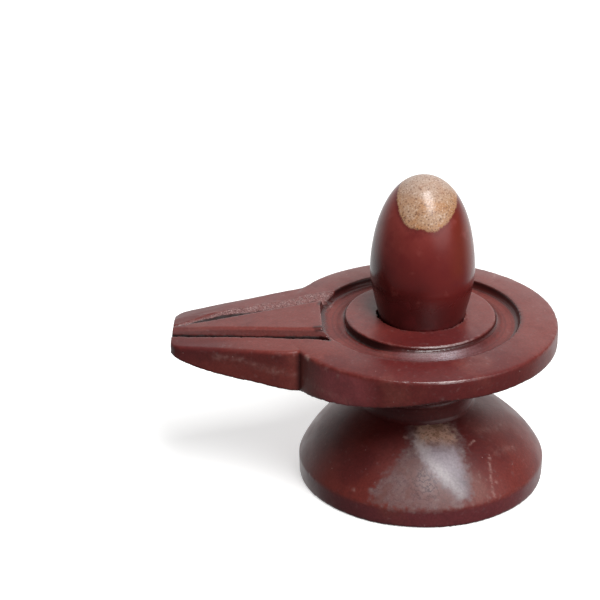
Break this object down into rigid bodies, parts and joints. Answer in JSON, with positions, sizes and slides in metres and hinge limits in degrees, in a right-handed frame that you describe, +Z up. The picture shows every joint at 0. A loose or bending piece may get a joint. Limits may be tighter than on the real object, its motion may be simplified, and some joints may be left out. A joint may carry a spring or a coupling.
{
  "type": "shiva lingam stone",
  "caption": "Egg-shaped polished red river stone, seated in a carved stone yoni base with a round table, a ring channel and a long drained spout.",
  "frame": {"origin": "centre of the foot's flat underside", "axes": "+Z up, out of the table's top; -X along the spout, towards its tip; +Y across the spout"},
  "size_m": [0.1223, 0.088, 0.102],
  "materials": {
    "carved_stone": "carved and hand polished, worn",
    "polished_stone": "high polish"
  },
  "bodies": {
    "root": {"yoni_base": "carved_stone", "lingam_stone": "polished_stone"}
  },
  "joints": []
}
